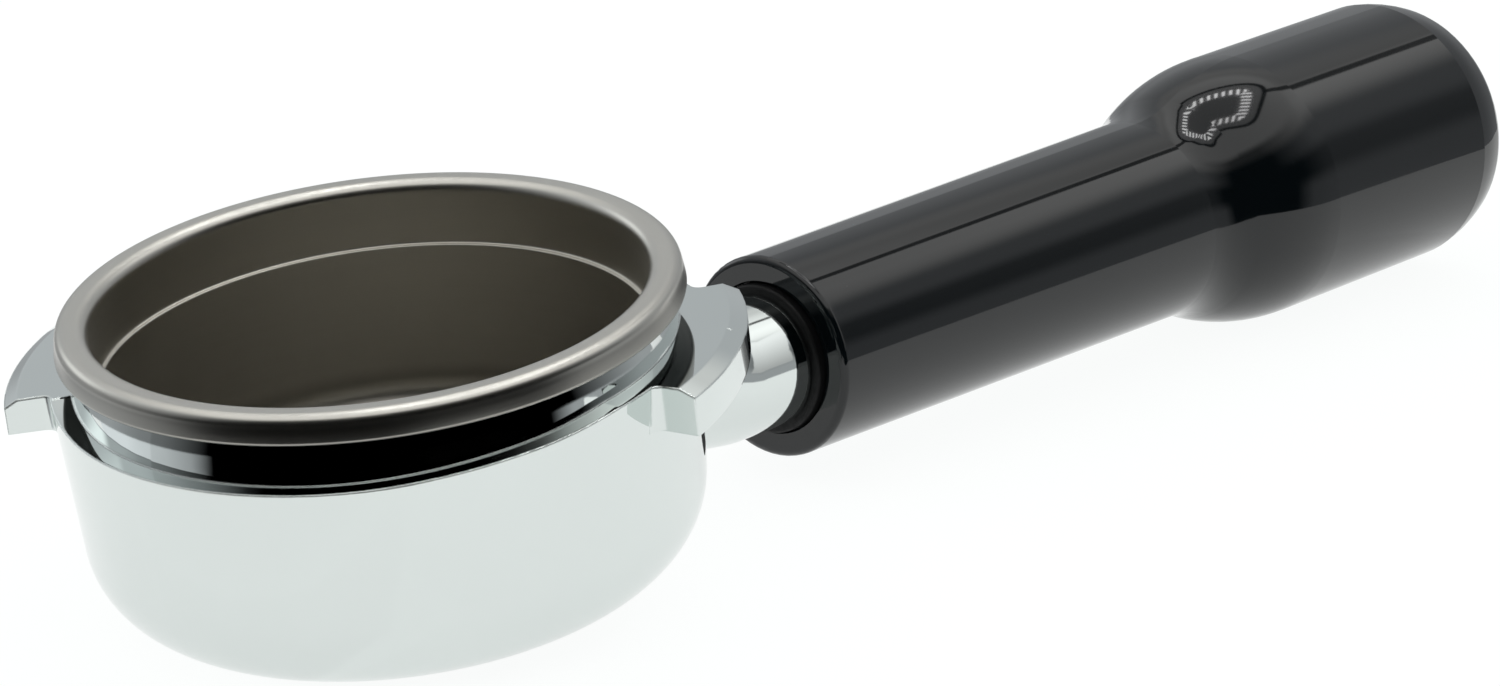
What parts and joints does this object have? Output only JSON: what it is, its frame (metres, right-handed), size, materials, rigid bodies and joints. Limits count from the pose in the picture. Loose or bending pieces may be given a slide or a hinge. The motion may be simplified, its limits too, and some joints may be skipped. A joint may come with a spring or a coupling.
{
  "type": "bottomless portafilter",
  "caption": "Bottomless portafilter: open-bottomed chrome holder with bayonet lugs, lift-out steel filter basket held by a wire spring, and a swelled black handle screwed onto an angled neck.",
  "frame": {"origin": "centre of the filter basket rim's top plane, the face that seals against the group", "axes": "+Z along the basket axis, up out of the basket; +X towards the handle, which slopes down by 6.4 degrees; +Y completes a right-handed set"},
  "size_m": [0.1989, 0.0714, 0.0552],
  "materials": {
    "basket_steel": "satin pressed stainless steel",
    "holder_chrome": "polished chrome plate on cast brass",
    "spring_steel": "drawn spring wire",
    "grip_black": "gloss black moulded plastic",
    "insert_brass": "turned",
    "stud_steel": "plain steel rod",
    "spacer_black": "black moulded ring"
  },
  "bodies": {
    "holder": {"portafilter_body": "holder_chrome", "basket_spring": "spring_steel", "handle_grip": "grip_black", "handle_insert": "insert_brass", "handle_stud": "stud_steel", "neck_spacer": "spacer_black"},
    "basket": {"filter_basket": "basket_steel"}
  },
  "joints": [
    {"name": "basket_lift", "type": "slide", "parent": "holder", "child": "basket", "axis": [0, 0, 1], "range_m": [0, 0.03], "deforming": ["basket_spring"]}
  ]
}
